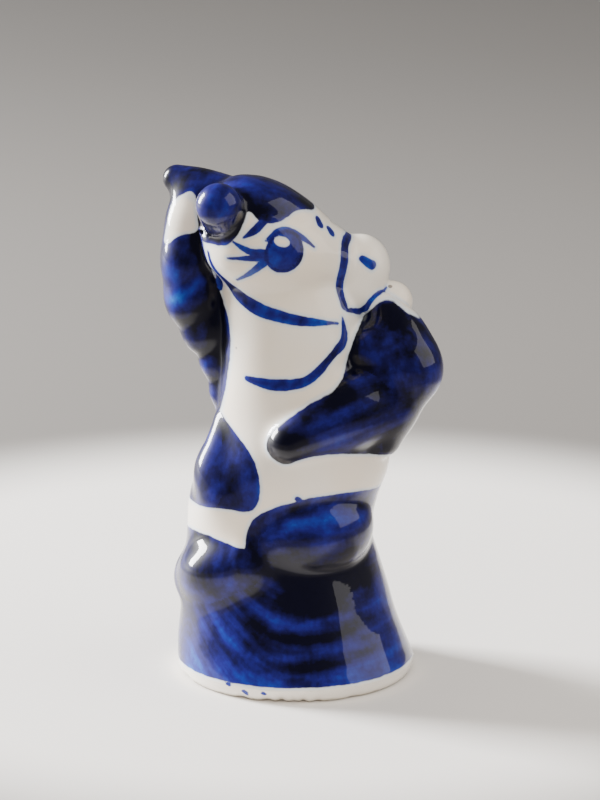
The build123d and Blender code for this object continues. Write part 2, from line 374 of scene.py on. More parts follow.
# Where the cobalt lies darker or lighter: X, Y, Z, reach, and how much darker. Some spots are cobalt
# that pooled dark or ran thin; others are painted shade (under the lap, in the sleeve's crease, below
# the near ear) and painted highlights and reflections (on the near ear's ball, the sleeve, the elbow
# and the skirt's lower sides).
POOLS_AND_PAINTED_LIGHT = [
    (-2.0, -11.0, 32.2, 2.6, 0.6),
    (12.5, -4.0, 47.4, 2.2, 0.5),
    (5.4, -8.4, 39.0, 1.6, 0.4),
    (12.6, -6.0, 31.0, 2.6, 0.3),
    (1.0, -13.0, 8.0, 7.0, 0.2),
    (0.0, -11.5, 14.0, 3.2, 0.45),
    (5.0, -10.0, 14.2, 3.2, 0.45),
    (9.0, -6.0, 14.6, 2.6, 0.3),
    (-6.5, -7.0, 59.6, 2.6, 0.3),
    (2.0, -2.0, 61.0, 2.4, 0.4),
    (-15.5, 4.5, 62.0, 2.2, 0.3),
    (8.5, -8.8, 41.5, 2.4, -0.3),
    (17.5, -4.0, 38.5, 2.4, -0.4),
    (-9.6, -9.0, 62.6, 1.8, -0.25),
    (-6.8, -7.0, 62.0, 1.6, -0.35),
    (-15.8, -1.0, 52.0, 1.8, -0.4),
    (-14.2, -1.0, 48.4, 1.6, -0.35),
    (4.0, -9.0, 23.6, 1.8, -0.25),
    (-10.6, -0.6, 40.0, 2.2, -0.4),
    (-10.0, -0.4, 35.4, 1.8, -0.3),
    (-12.5, -6.5, 3.6, 2.0, -0.3),
    (12.0, -7.0, 3.6, 2.4, -0.2),
]
# Brushed streaks, drawn from the front in X and Z: half a width, how much darker, and the points.
STREAKS = [
    (0.8, -0.30, [(-8.8, 14.8), (-5.8, 12.0), (-2.6, 10.3), (1.2, 9.6), (6.4, 9.9)]),
    (0.7, -0.22, [(-10.8, 11.6), (-9.2, 7.6), (-4.6, 5.6), (2.0, 6.2), (6.6, 7.0)]),
    (1.0, -0.2, [(-12.0, 3.4), (-6.0, 3.0), (2.0, 3.0), (9.0, 3.6), (13.0, 4.6)]),
    (0.7, 0.2, [(-7.0, 10.4), (-3.0, 8.4), (2.0, 7.6), (7.0, 8.0)]),
    (0.7, 0.2, [(-6.0, 6.4), (-1.0, 4.6), (5.0, 4.8), (9.5, 5.6)]),
    (0.8, -0.3, [(-9.9, 52.4), (-12.6, 50.4), (-15.8, 48.4)]),
    (0.6, 0.25, [(-9.4, 48.8), (-12.4, 46.6), (-15.4, 45.2)]),
    (0.6, 0.25, [(-8.6, 43.6), (-11.4, 41.6), (-13.4, 40.6)]),
    (0.8, -0.25, [(-3.0, 20.2), (0.0, 22.0), (4.0, 22.6), (8.0, 22.0)]),
    (0.6, 0.2, [(1.0, 36.0), (5.6, 38.0), (10.0, 38.6)]),
]
STREAKS_BEFORE = 2.0  # the streaks lie on the front, before this Y
TURN_BACK = (-1.0, 2.0)  # between these Y, outlines seen from the front give way to whole forms
SLEEVE_OVER, FORM_OVER, EAR_OVER, TAIL_OVER = 0.3, 0.6, 0.3, 0.2  # how far the cobalt runs past a form
HAND_BARE = 0.15  # the glaze is bare this close to the hoof and the muzzle
LAP_ENDS, LAP_OFF = (0.0, 4.0), 20  # the lap's outline holds up to these Y, and fades by this much
# How dark each kind of cobalt lies; the eye's middle lies lighter than its dark rim, as a painted
# reflection.
WASH_DEPTH, LINE_DEPTH, EYE_DEPTH_WITH_PAINTED_REFLECTION, RIM_DEPTH = 0.78, 0.64, 0.62, 0.86
POOLING_AND_PAINTED_SHADE = 1.5  # how much darker the cobalt lies in the creases: cobalt pooled there, and painted shade
CREASE_REACH, CREASE_LIMITS = 1.4, (-0.05, 0.4)
ARC_SAG = 0.064  # the skirt's brush arcs drop away by this times the square of the way out
ARC_MIDDLE, ARC_FRONT = 0.2, (-2, 6)  # the arcs' middle in X, and how far forward they take hold
SKIRT_TURN = 2.0  # the skirt's grain for each radian round
BRUSH_DRAW = 0.85  # how much the grain is drawn out along the brush's way
BRUSH_FALLS = {
    "near_forearm": (-0.9, -0.35, -0.25),
    "near_sleeve": (0.25, 0.1, -0.95),
    "far_arm": (-0.35, -0.2, -0.9),
    "near_thigh": (1, 0.2, 0),
    "forelock": tuple(FORWARD),
    "tail": (0.1, 0.3, -0.95),
}


# ---------------------------------------------------------------- distances to forms
def smooth_rows(rows, samples):
    """Rows resampled along their first column, on a curve that is smooth through every row."""
    rows = np.array(rows, float)
    start = rows[:, 0]
    slopes = np.gradient(rows, start, axis=0)
    at = np.linspace(start[0], start[-1], samples)
    i = np.clip(np.searchsorted(start, at, side="right") - 1, 0, len(start) - 2)
    step = (start[i + 1] - start[i])[:, None]
    t = (at[:, None] - start[i][:, None]) / step
    return (
        (2 * t**3 - 3 * t**2 + 1) * rows[i]
        + (t**3 - 2 * t**2 + t) * step * slopes[i]
        + (3 * t**2 - 2 * t**3) * rows[i + 1]
        + (t**3 - t**2) * step * slopes[i + 1]
    )


def smooth_line(points, samples):
    """Points resampled along a smooth line through them. Other columns, such as a radius, follow."""
    points = np.array(points, float)
    run = np.cumsum(np.r_[0, np.linalg.norm(np.diff(points[:, :3], axis=0), axis=1)])
    return smooth_rows(np.c_[run, points], samples)[:, 1:]


def smooth_min(a, b, softness):
    """The nearer of two distances, with a fillet where they're alike."""
    alike = np.maximum(softness - np.abs(a - b), 0) / softness
    return np.minimum(a, b) - alike**3 * softness / 6


def along_axes(points, origin, axes):
    """Each point's place along the three axes, from the origin."""
    return (points - np.asarray(origin)) @ np.array(axes).T


def oval(across, up, half_across, half_up):
    """Distance to an ellipse, near enough close to its edge."""
    reach = np.hypot(across / half_across, up / half_up) + TINY
    slope = np.hypot(across / half_across**2, up / half_up**2) + TINY
    return reach * (reach - 1) / slope


def capped(side, past):
    """A section's distance, rounded off past the end of the form."""
    return np.where(past > 0, np.hypot(np.maximum(side, 0), past), side)


def column(points):
    """Distance to the standing form."""
    rows = smooth_rows(COLUMN, COLUMN_SAMPLES)
    level = np.clip(points[:, 2], rows[0, 0], rows[-1, 0])
    left, right, front, back = (np.interp(level, rows[:, 0], rows[:, i]) for i in range(1, 5))
    side = oval(
        points[:, 0] - (left + right) / 2,
        points[:, 1] - (front + back) / 2,
        (right - left) / 2,
        (back - front) / 2,
    )
    return capped(side, np.abs(points[:, 2] - level))


def across_head(points, sections):
    """Distance to a form through sections that stand across the head."""
    rows = smooth_rows(sections, SECTION_SAMPLES)
    forward, across, up = along_axes(points, HEAD_CENTRE, HEAD_AXES).T
    place = np.clip(forward, rows[0, 0], rows[-1, 0])
    half, low, high = (np.interp(place, rows[:, 0], rows[:, i]) for i in range(1, 4))
    side = oval(across, up - (low + high) / 2, half, (high - low) / 2)
    return capped(side, np.abs(forward - place))


def ovoid(points, centre, axes, halves):
    """Distance to an ellipsoid, near enough close to its skin."""
    place = along_axes(points, centre, axes)
    reach = np.linalg.norm(place / halves, axis=1) + TINY
    slope = np.linalg.norm(place / np.square(halves), axis=1) + TINY
    return reach * (reach - 1) / slope


def roll(points, stations, thickness=1.0):
    """Distance to a roll of clay along the stations, or FAR_OFF where it's well away."""
    rows = smooth_line(stations, ROLL_SAMPLES)
    reach = rows[:, 3:].max() + FAR_OFF / 2
    beside = (points > rows[:, :3].min(axis=0) - reach) & (points < rows[:, :3].max(axis=0) + reach)
    here = np.nonzero(beside.all(axis=1))[0]
    close = points[here]
    nearest = np.full(len(close), FAR_OFF)
    for start, end in zip(rows, rows[1:]):
        run = end[:3] - start[:3]
        share = np.clip((close - start[:3]) @ run / (run @ run), 0, 1)
        off = close - start[:3] - share[:, None] * run
        gap = np.sqrt(np.einsum("ij,ij->i", off, off))
        radius = (start[3] + share * (end[3] - start[3])) * thickness
        nearest = np.minimum(nearest, gap - radius)
    everywhere = np.full(len(points), FAR_OFF)
    everywhere[here] = nearest
    return everywhere


def lock(points, middle, radius):
    """Distance to one lock of the mane."""
    fall = LOCK_FALL / np.linalg.norm(LOCK_FALL)
    side = np.cross(fall, (0, 1, 0))
    side /= np.linalg.norm(side)
    halves = radius * np.array((LOCK_STRETCH, LOCK_SWELL, LOCK_SWELL * LOCK_FLATNESS))
    return ovoid(points, middle, (fall, np.cross(side, fall), side), halves)


def muzzle(points):
    """The nose with its chin."""
    nose = ovoid(points, MUZZLE_CENTRE, HEAD_AXES, np.array(MUZZLE_HALVES))
    chin = ovoid(points, CHIN_CENTRE, HEAD_AXES, np.array(CHIN_HALVES))
    return smooth_min(nose, chin, CHIN_FILLET)


def near_sleeve(points):
    """The bent arm: down from the shoulder, out to the elbow, and up to the muzzle."""
    bent = smooth_min(roll(points, UPPER_ARM), roll(points, RAISED_ARM), SHOULDER_FILLET)
    return smooth_min(bent, roll(points, ELBOW), ELBOW_FILLET)


# Every piece's form with the softness of its fillet, in the order that they're stuck on.
FORMS = {
    "column": (column, 0.1),
    "head_casting": (lambda p: across_head(p, HEAD), 2.0),
    "muzzle": (muzzle, 1.2),
    "forelock": (lambda p: across_head(p, FORELOCK), 0.6),
    "far_ear": (lambda p: roll(p, FAR_EAR), 1.6),
    "near_ear": (lambda p: roll(p, NEAR_EAR), 1.8),
    "near_sleeve": (near_sleeve, 1.2),
    "near_forearm": (lambda p: roll(p, NEAR_FOREARM), 2.0),
    "raised_hoof": (lambda p: roll(p, RAISED_HOOF), 0.9),
    "far_arm": (lambda p: roll(p, FAR_ARM), 3.0),
    "near_thigh": (lambda p: roll(p, NEAR_THIGH), 0.9),
    "far_thigh": (lambda p: roll(p, FAR_THIGH), 2.4),
    "tail": (lambda p: roll(p, TAIL), 1.0),
}


def mane(points):
    """Each lock's distance, and the mane's as a whole."""
    middles = smooth_line(MANE_SPINE, 2 * LOCK_COUNT + 1)[1::2]
    locks = [lock(points, row[:3], row[3]) for row in middles]
    whole = roll(points, MANE_SPINE, SPINE_SHARE)
    for one in locks:
        whole = smooth_min(whole, one, LOCK_FILLET)
    return locks, whole


def ripple(points):
    """The slight unevenness of the surface."""
    waves = np.array(RIPPLE_WAVES)
    return RIPPLE * np.sin(points @ waves[:, :3].T + waves[:, 3]).mean(axis=1)


def skin(points):
    """Distance to the whole figure's skin."""
    whole = None
    for form, softness in FORMS.values():
        gap = form(points)
        whole = gap if whole is None else smooth_min(whole, gap, softness)
    return smooth_min(whole, mane(points)[1], MANE_FILLET) + ripple(points)


def piece_distances(points):
    """Distance to each piece's own form, by name."""
    gaps = {name: form(points) for name, (form, _) in FORMS.items()}
    standing = gaps.pop("column")
    gaps["skirt_casting"] = np.maximum(standing, points[:, 2] - WAIST)
    gaps["torso_casting"] = np.maximum(standing, WAIST - points[:, 2])
    for number, gap in enumerate(mane(points)[0], start=1):
        gaps[f"mane_lock_{number}"] = gap
    return gaps


# ---------------------------------------------------------------- distances to paint
def rounded(outline, rounds=3):
    """A closed outline with its corners cut, again and again, until they're round."""
    corners = np.array(outline, float)
    for _ in range(rounds):
        ahead = np.roll(corners, -1, axis=0)
        cut = np.stack([corners * 0.75 + ahead * 0.25, corners * 0.25 + ahead * 0.75], axis=1)
        corners = cut.reshape(-1, 2)
    return corners


def outline_gap(flat, outline):
    """Distance from flat points to a closed outline, negative inside it."""
    corners = rounded(outline)
    nearest = np.full(len(flat), np.inf)
    inside = np.zeros(len(flat), bool)
    for start, end in zip(corners, np.roll(corners, -1, axis=0)):
        run = end - start
        offset = flat - start
        share = np.clip(offset @ run / (run @ run), 0, 1)
        away = offset - share[:, None] * run
        nearest = np.minimum(nearest, np.hypot(away[:, 0], away[:, 1]))
        if run[1]:
            crosses = (start[1] > flat[:, 1]) != (end[1] > flat[:, 1])
            inside ^= crosses & (flat[:, 0] < start[0] + run[0] * offset[:, 1] / run[1])
    return np.where(inside, -nearest, nearest)


def ease(value, start, end):
    """0 before the start, 1 past the end, and smooth between them."""
    share = np.clip((value - start) / (end - start), 0, 1)
    return share * share * (3 - 2 * share)


def stroke_gap(points, stroke):
    """Distance to a brush stroke, laid down on the skin."""
    laid = smooth_line(stroke, STROKE_SAMPLES)
    laid[:, :3] = settled(laid[:, :3])[0]
    return roll(points, laid)


def head_places(stations):
    """Stations given in the head's axes, in the frame's axes instead."""
    stations = np.array(stations, float)
    return np.c_[HEAD_CENTRE + stations[:, :3] @ np.array(HEAD_AXES), stations[:, 3:]]


def wash_gap(points, gaps, mane_gap):
    """Distance to the edge of the broad washes: hair, arms, lap and skirt."""
    front = points[:, [0, 2]]
    behind = ease(points[:, 1], *TURN_BACK)
    sleeve = np.minimum(gaps["near_sleeve"], gaps["near_forearm"])
    bare_hand = np.minimum(gaps["raised_hoof"], gaps["muzzle"])
    arm = outline_gap(front, ARM_PAINT) * (1 - behind) + (sleeve - SLEEVE_OVER) * behind
    arm = np.maximum(arm, HAND_BARE - bare_hand)
    hair_down = outline_gap(front, MANE_PAINT) * (1 - behind) + (mane_gap - FORM_OVER) * behind
    far = outline_gap(front, FAR_ARM_PAINT) * (1 - behind) + (gaps["far_arm"] - FORM_OVER) * behind
    lap = outline_gap(front, LAP_PAINT) + LAP_OFF * ease(points[:, 1], *LAP_ENDS)
    turn = np.degrees(np.arctan2(points[:, 0], -points[:, 1]))
    edge = smooth_rows(HEM_PAINT_TOP, SECTION_SAMPLES)
    hem = np.maximum(points[:, 2] - np.interp(turn, *edge.T), HEM_PAINT_FOOT - points[:, 2])
    forward, _, up = along_axes(points, HEAD_CENTRE, HEAD_AXES).T
    hair = outline_gap(np.c_[forward, up], HAIR_PAINT)
    ears = np.minimum(gaps["near_ear"], gaps["far_ear"])
    hair = np.minimum(hair, ears - EAR_OVER)
    washes = np.stack([arm, hair_down, far, lap, hem, hair, gaps["tail"] - TAIL_OVER]).min(axis=0)
    bare = np.maximum(outline_gap(front, BARE_PATCH), points[:, 1] - BARE_BEFORE)
    bare = np.maximum(bare, EAR_OVER - ears)
    return np.maximum(washes, -bare)


def eye_gaps(points):
    """Distance to the eyes' cobalt, with the glint left bare, and to the rim round them."""
    forward, across, up = along_axes(points, HEAD_CENTRE, HEAD_AXES).T
    eye_forward, eye_up = forward - EYE_CENTRE[0], up - EYE_CENTRE[1]
    eye = oval(
        eye_forward * cos(EYE_TILT) + eye_up * sin(EYE_TILT),
        eye_up * cos(EYE_TILT) - eye_forward * sin(EYE_TILT),
        *EYE_HALVES,
    )
    glint = oval(forward - GLINT_CENTRE[0], up - GLINT_CENTRE[1], *GLINT_HALVES)
    inner = np.where(np.abs(across) < EYE_NEAREST, FAR_OFF, -FAR_OFF)
    eye = np.maximum(eye, inner)
    rim = np.maximum(eye, -eye - EYE_RIM)
    return np.maximum(eye, -glint), rim


def line_gap(points):
    """Distance to the nearest of the single strokes and drops."""
    strokes = [
        head_places(np.array(stroke) * (1, side, 1, 1))
        for stroke in HEAD_STROKES
        for side in (1, -1)
    ]
    return np.min([stroke_gap(points, stroke) for stroke in strokes + BODY_STROKES + FOOT_DROPS], axis=0)


def wash_depth_and_painted_light(points):
    """How dark the washes lie: darker in creases, as pooled cobalt and as painted shade; in spots, some of
    them painted shade and some painted highlights; and along brush streaks.
    """
    front = points[:, [0, 2]]
    # Darker in the creases: cobalt pooled there, and painted shade.
    creases = 1 - skin(points + normals_at(points) * CREASE_REACH) / CREASE_REACH
    depth = WASH_DEPTH + POOLING_AND_PAINTED_SHADE * np.clip(creases, *CREASE_LIMITS)
    # Spots: pooled and thin cobalt, and also painted shade and painted highlights.
    for x, y, z, reach, more in POOLS_AND_PAINTED_LIGHT:
        apart = np.linalg.norm(points - (x, y, z), axis=1)
        depth += more * np.exp(-((apart / reach) ** 2))
    for half_width, more, route in STREAKS:
        line = smooth_line([(x, 0, z) for x, z in route], STREAK_SAMPLES)[:, [0, 2]]
        apart = np.min([np.hypot(*(front - place).T) for place in line], axis=0)
        share = np.exp(-((apart / half_width) ** 2)) * (points[:, 1] < STREAKS_BEFORE)
        depth += more * share
    return depth


def paint_gaps(points, gaps, mane_gap):
    """Distance to the edge of the cobalt, negative under it, and how dark it lies: its thickness, with
    painted shade and painted highlights.
    """
    washes = wash_gap(points, gaps, mane_gap)
    eye, rim = eye_gaps(points)
    lines = np.minimum(eye, line_gap(points))
    depth = np.where(lines < washes, LINE_DEPTH, wash_depth_and_painted_light(points))
    # The eye's middle lighter than its rim: a painted reflection.
    depth = np.where(eye < 0, EYE_DEPTH_WITH_PAINTED_REFLECTION, depth)
    depth = np.where(rim < 0, RIM_DEPTH, depth)
    return np.minimum(washes, lines), depth


def brush_places(points, fall):
    """Places in the grain of the brush: drawn out along the way that it fell."""
    fall = np.array(fall, float) / np.linalg.norm(fall)
    return points - BRUSH_DRAW * (points @ fall)[:, None] * fall


def skirt_places(points):
    """The grain of the skirt's brushing, in hanging arcs across the front."""
    out = np.minimum(points[:, 0] - ARC_MIDDLE, 0)
    sag = ARC_SAG * np.square(out) * ease(-points[:, 1], *ARC_FRONT)
    turn = np.arctan2(points[:, 0], -points[:, 1])
    return np.c_[turn * SKIRT_TURN, points[:, 2] - sag, np.zeros(len(points))]


# ---------------------------------------------------------------- the skin as a mesh
def normals_at(points, reach=CLOSE_REACH):
    """The skin's outward direction at each point."""
    steps = np.eye(3) * reach
    slope = np.stack([skin(points + step) - skin(points - step) for step in steps], axis=1)
    return slope / np.linalg.norm(slope, axis=1, keepdims=True)


def mesh_skin():
    """Points and four-sided faces of the skin, from its distances in a narrow band."""
    coarse = BLOCK * VOXEL
    low = np.array(cad_low) / MM - MARGIN
    cells = np.ceil((np.array(cad_high) / MM + MARGIN - low) / coarse).astype(int)
    middles = np.indices(cells).reshape(3, -1).T * coarse + low + coarse / 2 - VOXEL / 2
    rough = skin(middles)
    band = np.abs(rough) < coarse + BAND_SLACK
    field = np.where(rough < 0, -FAR_OFF, FAR_OFF).reshape(cells)
    for axis in range(3):
        field = np.repeat(field, BLOCK, axis)
    offsets = np.indices((BLOCK, BLOCK, BLOCK)).reshape(3, -1).T
    corners = np.indices(cells).reshape(3, -1).T[band] * BLOCK
    index = (corners[:, None] + offsets[None]).reshape(-1, 3)
    field[tuple(index.T)] = skin(index * VOXEL + low)
    grid = openvdb.FloatGrid(FAR_OFF)
    grid.copyFromArray(field.astype(np.float32))
    points, quads = grid.convertToQuads(0.0)
    return points.astype(float) * VOXEL + low, quads.astype(int)


def settled(points, rounds=2):
    """Points moved onto the skin, and the skin's direction there."""
    for _ in range(rounds):
        direction = normals_at(points)
        points = points - skin(points)[:, None] * direction * SETTLE_SHARE
    return points, normals_at(points, GLAZE_FLOW)


points, quads = mesh_skin()
points, normals = settled(points)
first, second, third = (points[quads[:, i]] for i in range(3))
facing = np.einsum("ij,ij->i", np.cross(second - first, third - second), normals[quads[:, 0]])
if np.median(facing) < 0:
    quads = quads[:, ::-1]

# The foot is a piece of its own, so the skin ends level at the top of it.
low_points = points[:, 2] < FOOT_TOP
quads = quads[points[quads][:, :, 2].mean(axis=1) >= FOOT_TOP]
points[:, 2] = np.where(low_points, FOOT_TOP, points[:, 2])

gaps = piece_distances(points)
names = list(gaps)
table = np.stack([gaps[name] for name in names])
# Nothing here keeps a piece in one lump: the sleeve's has two, and the torso's a stray island.
owner = np.argmin(table[:, quads].mean(axis=2), axis=0)
paint, depth = paint_gaps(points, gaps, mane(points)[1])


def close_piece(faces):
    """The faces as a closed wall: the skin, the same skin deeper in, and a rim along the edge."""
    used, faces = np.unique(faces, return_inverse=True)
    faces = faces.reshape(-1, 4)
    outer, direction = points[used], normals[used]
    inner = outer - direction * WALL
    count = len(used)
    edges = np.concatenate([faces[:, [i, (i + 1) % 4]] for i in range(4)])
    keys = edges[:, 0] * count + edges[:, 1]
    back = edges[:, 1] * count + edges[:, 0]
    rim = edges[~np.isin(keys, back)]
    rim_faces = np.c_[rim[:, 1], rim[:, 0], rim[:, 0] + count, rim[:, 1] + count]
    every = np.concatenate([faces, faces[:, ::-1] + count, rim_faces])
    places = np.concatenate([outer, inner])
    flat = np.cross(
        places[rim_faces[:, 1]] - places[rim_faces[:, 0]],
        places[rim_faces[:, 3]] - places[rim_faces[:, 0]],
    )
    flat /= np.linalg.norm(flat, axis=1, keepdims=True) + TINY_AREA
    corner_normals = np.concatenate([
        direction[faces].reshape(-1, 3),
        -direction[faces[:, ::-1]].reshape(-1, 3),
        np.repeat(flat, 4, axis=0),
    ])
    return used, places, every, corner_normals


def give_values(mesh, label, kind, values):
    """Values at the skin's points, given to the points behind them too."""
    layer = mesh.attributes.new(label, kind, "POINT")
    both = np.concatenate([values, values]).ravel()
    layer.data.foreach_set("vector" if kind == "FLOAT_VECTOR" else "value", both)


def make_piece(name, faces):
    """One piece of the skin as an object that stands for its CAD node."""
    used, places, every, corner_normals = close_piece(faces)
    mesh = bpy.data.meshes.new(name)
    mesh.from_pydata((places * MM).tolist(), [], every.tolist())
    mesh.polygons.foreach_set("use_smooth", [True] * len(mesh.polygons))
    mesh.normals_split_custom_set(corner_normals.tolist())
    grain = skirt_places(points[used])
    if name != "skirt_casting":
        grain = brush_places(points[used], BRUSH_FALLS.get(name, LOCK_FALL))
    give_values(mesh, "paint", "FLOAT", paint[used])
    give_values(mesh, "depth", "FLOAT", depth[used])
    give_values(mesh, "grain", "FLOAT_VECTOR", grain)
    piece = bpy.data.objects.new(f"{name}_glazed", mesh)
    bpy.context.scene.collection.objects.link(piece)
    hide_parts(name)
    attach(piece, "root")
    return piece


slots = {entry["node"]: entry["material_slot"] for entry in frame["record"]["subparts"]}
pieces = {}
for number, name in enumerate(names):
    mine = quads[owner == number]
    if len(mine):
        pieces[name] = make_piece(name, mine)

# ---------------------------------------------------------------- the foot
def make_foot():
    """The bare disc under the skirt: drawn in and chipped at its lower edge, with the pour hole."""
    row = smooth_rows(COLUMN, FOOT_SAMPLES)
    left, right, front, back = (np.interp(FOOT_TOP, row[:, 0], row[:, i]) for i in range(1, 5))
    middle = np.array(((left + right) / 2, (front + back) / 2))
    halves = np.array(((right - left) / 2, (back - front) / 2))
    turn = np.linspace(0, 2 * pi, FOOT_SIDES, endpoint=False)
    way = np.c_[np.cos(turn), np.sin(turn)]
    chips = sum(
        depth * np.exp(-((((np.degrees(turn) - at + 180) % 360 - 180) / wide) ** 2))
        for at, wide, depth in CHIPS
    )
    rings = []
    for inward, height, chipped in FOOT_PROFILE:
        flat = middle + way * (halves - inward) - way * (chips * chipped)[:, None]
        lifted = height + chips * chipped * CHIP_LIFT
        rings.append(np.c_[flat, np.clip(lifted, 0, FOOT_TOP)])
    for radius, height in ((HOLE + HOLE_EDGE, 0), (HOLE, HOLE_EDGE), (HOLE, FOOT_TOP)):
        rings.append(np.c_[way * radius, np.full(FOOT_SIDES, height)])
    places = np.concatenate(rings)
    faces = []
    for ring in range(len(rings)):
        here, there = ring * FOOT_SIDES, (ring + 1) % len(rings) * FOOT_SIDES
        for i in range(FOOT_SIDES):
            j = (i + 1) % FOOT_SIDES
            faces.append((here + i, there + i, there + j, here + j))
    mesh = bpy.data.meshes.new("foot_disc")
    mesh.from_pydata((places * MM).tolist(), [], faces)
    mesh.polygons.foreach_set("use_smooth", [True] * len(mesh.polygons))
    mesh.set_sharp_from_angle(angle=FOOT_SHARP)
    drops = np.full(len(places), FAR_OFF)
    for stroke in FOOT_DROPS:
        drops = np.minimum(drops, roll(places, stroke))
    mesh.attributes.new("paint", "FLOAT", "POINT").data.foreach_set("value", drops)
    foot = bpy.data.objects.new("foot_disc_bare", mesh)
    bpy.context.scene.collection.objects.link(foot)
    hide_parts("foot_disc")
    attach(foot, "root")
    return foot


pieces["foot_disc"] = make_foot()


# ---------------------------------------------------------------- materials
class Shader:
    """A material's nodes, added one by one with their settings and their inputs."""

    def __init__(self, name):
        self.material = bpy.data.materials.new(name)
        self.material.use_nodes = True
        self.tree = self.material.node_tree
        self.surface = self.tree.nodes["Principled BSDF"]

    def feed(self, socket, value):
        """A number or colour for a socket, or a link from another node's output."""
        if isinstance(value, bpy.types.NodeSocket):
            self.tree.links.new(value, socket)
        else:
            socket.default_value = value

    def add(self, kind, inputs=(), output=0, **settings):
        """One node, with its settings and inputs, and the output asked for."""
        node = self.tree.nodes.new(f"ShaderNode{kind}")
        for key, value in settings.items():
            setattr(node, key, value)
        for key, value in dict(inputs).items():
            self.feed(node.inputs[key], value)
        return node.outputs[output]

    def maths(self, operation, first, second=0.0):
        """A sum on two values."""
        return self.add("Math", {0: first, 1: second}, operation=operation)

    def span(self, value, start, end, low=0.0, high=1.0):
        """A value taken from one span to another, smoothly, and held at its ends."""
        inputs = {"Value": value, "From Min": start, "From Max": end, "To Min": low, "To Max": high}
        return self.add("MapRange", inputs, interpolation_type="SMOOTHSTEP")

    def noise(self, places, scale, detail=2.0, roughness=0.5):
        """Noise about nothing, from -0.5 to 0.5 or so."""
        inputs = {"Vector": places, "Scale": scale, "Detail": detail, "Roughness": roughness}
        return self.maths("SUBTRACT", self.add("TexNoise", inputs, "Fac"), 0.5)

    def layer(self, places, grain):
        """One layer of noise at its strength: its scale, detail, roughness and strength."""
        scale, detail, roughness, strength = grain
        return self.maths("MULTIPLY", self.noise(places, scale, detail, roughness), strength)

    def surface_values(self, **values):
        """Plain values on the surface's own sockets, with spaces for the names' underscores."""
        for key, value in values.items():
            self.surface.inputs[key.replace("_", " ")].default_value = value

    def mix(self, share, first, second):
        """Two colours mixed."""
        node = self.tree.nodes.new("ShaderNodeMix")
        node.data_type = "RGBA"
        for key, value in (("Factor_Float", share), ("A_Color", first), ("B_Color", second)):
            self.feed(next(s for s in node.inputs if s.identifier == key), value)
        return next(s for s in node.outputs if s.identifier == "Result_Color")

    def ramp(self, value, stops):
        """Colours along a value."""
        node = self.tree.nodes.new("ShaderNodeValToRGB")
        self.feed(node.inputs["Fac"], value)
        elements = node.color_ramp.elements
        while len(elements) < len(stops):
            elements.new(0.5)
        for element, (place, colour) in zip(elements, stops):
            element.position, element.color = place, (*colour, 1)
        return node.outputs["Color"]


# Layers of noise: scale for each metre (the brush streaks' for each mm), detail, roughness, strength.
RAGGED, RAGGED_FINE = (350.0, 2.0, 0.5, 0.25), (1100.0, 3.0, 0.5, 0.2)
BRUSH_STREAKS, CLOUDS, GRIT = (0.62, 2.5, 0.5, 0.75), (230.0, 3.0, 0.6, 0.85), (1500.0, 3.0, 0.65, 0.3)
DIMPLES = (1300.0, 2.0, 0.5, 0.25)
UNEVEN = (500.0, 3.0, 0.5, 0.0006)
# Plain noise: scale, detail and roughness.
WARM_CLOUDS, ORANGE_PEEL = (90.0, 2.0), (420.0, 2.0)
BISCUIT_MOTTLE, BISCUIT_GRAIN = (1500.0, 4.0, 0.7), (3000.0, 3.0, 0.7)
SPECK_SCALE = 150.0
# Spans of the distance to the paint's edge, in mm, and what they're taken to.
COVER, HALO_SPAN, THIN_SPAN, DROP_EDGE = (-0.10, 0.08, 1.0, 0.0), (0.0, 0.55, 0.5, 0.0), (-0.75, 0.0), 0.08
THINNER = 0.16  # how much thinner the cobalt lies at its edge
# Spans of plain noise, and of the distance from a speck's middle.
WARM_SPAN, SPECK_SPAN, MOTTLE_SPAN = (-0.25, 0.25), (0.035, 0.05, 0.75, 0.0), (-0.25, 0.3)
BARE_SPAN = (0.00015, 0.0006, 1.0, 0.0)  # heights in metres
BARE_ROUGHNESS = (0.0, 1.0, 0.2, 0.8)
DROP_RAGGED = 300.0  # the drops' ragged edges, against the uneven edge of the glaze
GLAZE_BUMP = {"Strength": 0.12, "Distance": 0.00012}
BISCUIT_BUMP = {"Strength": 0.5, "Distance": 0.0001}


